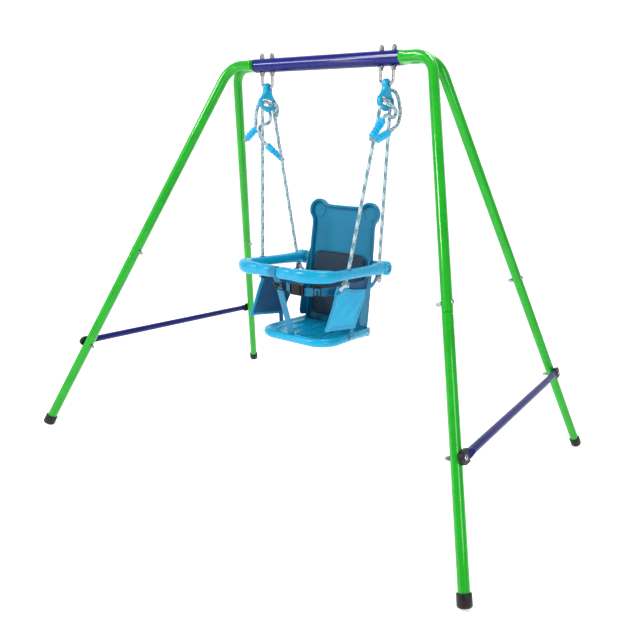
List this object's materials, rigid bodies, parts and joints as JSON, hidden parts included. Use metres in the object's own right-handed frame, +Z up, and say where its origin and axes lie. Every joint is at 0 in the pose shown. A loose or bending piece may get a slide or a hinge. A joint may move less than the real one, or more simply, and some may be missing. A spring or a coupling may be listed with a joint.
{
  "type": "toddler swing set",
  "caption": "Toddler swing set: a bucket swing seat with a guard ring on ropes, hung from a short bar on splayed tube legs.",
  "frame": {"origin": "on the floor under the middle of the top bar, at the bottom centre of the frame", "axes": "+X along the top bar, -Y is the front that the child faces, +Z up"},
  "size_m": [1.5866, 1.0052, 1.2042],
  "materials": {
    "bar_blue": "glossy blue powder coat",
    "leg_green": "glossy green powder coat",
    "brace_navy": "satin navy powder coat",
    "cap_black": "matte black",
    "buckle_black": "matte black",
    "zinc_steel": "bright zinc plate",
    "seat_cyan": "semi-gloss moulded",
    "rope_braid": "braided white, grey and teal",
    "pad_navy": "dark woven",
    "panel_cyan": "woven nylon",
    "webbing_blue": "woven webbing"
  },
  "bodies": {
    "frame": {"top_bar": "bar_blue", "leg_upper_rf": "leg_green", "leg_upper_rr": "leg_green", "leg_upper_lf": "leg_green", "leg_upper_lr": "leg_green", "leg_lower_rf": "leg_green", "leg_lower_rr": "leg_green", "leg_lower_lf": "leg_green", "leg_lower_lr": "leg_green", "foot_cap_rf": "cap_black", "foot_cap_rr": "cap_black", "foot_cap_lf": "cap_black", "foot_cap_lr": "cap_black", "leg_bolts": "zinc_steel", "leg_nuts": "zinc_steel", "brace_right": "brace_navy", "brace_left": "brace_navy", "brace_caps": "cap_black", "brace_bolts": "zinc_steel", "brace_nuts": "zinc_steel", "ubolt_right": "zinc_steel", "ubolt_left": "zinc_steel", "ubolt_lower_nuts": "zinc_steel", "ubolt_cap_nuts": "zinc_steel", "ubolt_washers": "zinc_steel"},
    "swing": {"hanger_right": "seat_cyan", "hanger_left": "seat_cyan", "rope_rf": "rope_braid", "rope_rr": "rope_braid", "rope_lf": "rope_braid", "rope_lr": "rope_braid", "rope_tail_rf": "rope_braid", "rope_tail_rr": "rope_braid", "rope_tail_lf": "rope_braid", "rope_tail_lr": "rope_braid", "ribbed_end_rf": "seat_cyan", "ribbed_end_rr": "seat_cyan", "ribbed_end_lf": "seat_cyan", "ribbed_end_lr": "seat_cyan", "rope_knots": "rope_braid", "guard_ring": "seat_cyan", "guard_bolts": "zinc_steel", "guard_nuts": "zinc_steel", "backrest": "seat_cyan", "back_pad": "pad_navy", "seat_pan": "seat_cyan", "pan_bolts": "zinc_steel", "pan_nuts": "zinc_steel", "side_panel_right": "panel_cyan", "side_panel_left": "panel_cyan", "crotch_strap": "webbing_blue", "strap_slider": "buckle_black", "waist_belt": "webbing_blue", "belt_buckle": "buckle_black", "belt_slider": "buckle_black"}
  },
  "joints": [
    {"name": "swing_pivot", "type": "hinge", "parent": "frame", "child": "swing", "pos_m": [0, 0, 1.107], "axis": [1, 0, 0], "range_deg": [-45, 45]}
  ]
}
